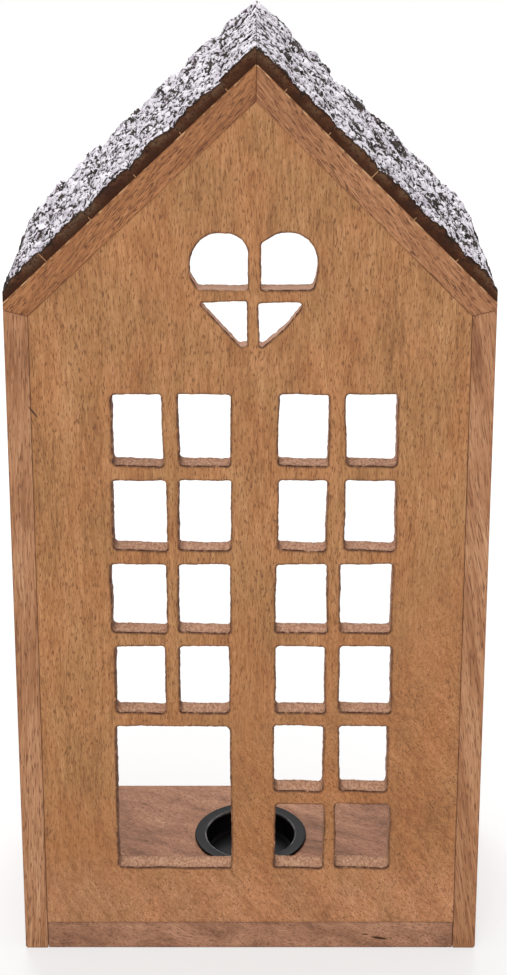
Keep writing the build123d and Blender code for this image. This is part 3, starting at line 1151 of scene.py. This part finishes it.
cup_bump = add(tree, "Bump", {"Strength": 0.15, "Distance": 0.1 * MM, "Height": orange_peel}).outputs[0]
cup_inputs = {
    "Base Color": cup_colour,
    "Roughness": cup_rough,
    "Normal": cup_bump,
    "Specular IOR Level": 0.06,
}
finish_surface(tree, cup_inputs)
cup.data.materials.append(satin_black)
stand_for(cup, "cup", "black_metal", "tealight_cup")


# Studio
# A plain pale floor in a bright room with four broad, soft lamps: in front above to the left, low in
# front, above to the right, and behind. The camera stands in front, above the ridge, and looks down.
floor_reach = 6.0
bm = bmesh.new()
bm.faces.new([bm.verts.new((x * floor_reach, y * floor_reach, 0.0)) for x, y in square])
floor = made_piece("floor", bm)


def seen_directly(tree):
    """1 where the camera sees the surface, straight or in a gloss, and 0 where it only sheds light."""
    rays = add(tree, "LightPath").outputs
    seen = combined(tree, rays["Is Camera Ray"], rays["Is Glossy Ray"], "MAXIMUM")
    return combined(tree, seen, rays["Is Transmission Ray"], "MAXIMUM")


# To the eye the floor is a darker matt with a glow over it, which grows where the lamps fade, so that it
# is near white all over and still keeps the shadow
pale = new_material("pale floor")
tree = pale.node_tree
seen = seen_directly(tree)
matt = add(tree, "BsdfDiffuse", {"Color": shade(228, 228, 228)}).outputs[0]
lit_middle = {0: position(tree), 1: (0.0, 0.3, 0.0)}
away = add(tree, "VectorMath", lit_middle, operation="DISTANCE").outputs["Value"]
fading_lamps = combined(tree, rise(tree, away, 0.65, 2.0, 0.2), 0.58)
glow = add(tree, "Emission", {"Color": (1, 1, 1, 1), "Strength": fading_lamps}).outputs[0]
half_matt = add(tree, "BsdfDiffuse", {"Color": shade(167, 167, 167)}).outputs[0]
lifted = add(tree, "AddShader", {0: half_matt, 1: glow}).outputs[0]
floor_mix = add(tree, "MixShader", {0: seen, 1: matt, 2: lifted}).outputs[0]
add(tree, "OutputMaterial", {"Surface": floor_mix})
floor.data.materials.append(pale)

world = bpy.data.worlds.new("bright room")
bpy.context.scene.world = world
world.use_nodes = True
tree = world.node_tree
tree.nodes.clear()
seen = seen_directly(tree)
room_light = add(tree, "Background", {"Color": (1, 1, 1, 1), "Strength": 0.56}).outputs[0]
white_wall = add(tree, "Background", {"Color": (1, 1, 1, 1), "Strength": 1.0}).outputs[0]
world_mix = add(tree, "MixShader", {0: seen, 1: room_light, 2: white_wall}).outputs[0]
add(tree, "OutputWorld", {"Surface": world_mix})


def soft_lamp(name, place, aim, size, watts):
    """A broad square lamp at place, turned to aim."""
    light = bpy.data.lights.new(name, "AREA")
    light.size = size
    light.energy = watts
    lamp = bpy.data.objects.new(name, light)
    lamp.location = place
    lamp.rotation_euler = (Vector(aim) - Vector(place)).to_track_quat("-Z", "Y").to_euler()
    bpy.context.scene.collection.objects.link(lamp)


soft_lamp("front lamp", (-0.4, -1.2, 1.25), (0, 0, 0.2), 0.8, 6.2)
soft_lamp("low lamp", (0.1, -0.95, 0.15), (0, 0, 0.04), 0.6, 3.0)
soft_lamp("top lamp", (0.5, 0.0, 1.6), (0, 0, 0.3), 1.0, 2.0)
soft_lamp("back lamp", (-0.1, 0.95, 1.25), (0, 0, 0.1), 1.0, 17)

camera_data = bpy.data.cameras.new("camera")
photo_height_px = 975
focal_px = 1961.5
camera_data.sensor_width = 36.0
camera_data.lens = focal_px * camera_data.sensor_width / photo_height_px
camera_data.shift_y = -0.24
camera = bpy.data.objects.new("camera", camera_data)
camera.location = (1.4 * MM, -813.8 * MM, 535.7 * MM)
looking_down = math.radians(15.8)
camera.rotation_euler = (math.pi / 2 - looking_down, 0, 0)
bpy.context.scene.collection.objects.link(camera)
bpy.context.scene.camera = camera
bpy.context.scene.view_settings.view_transform = "Standard"
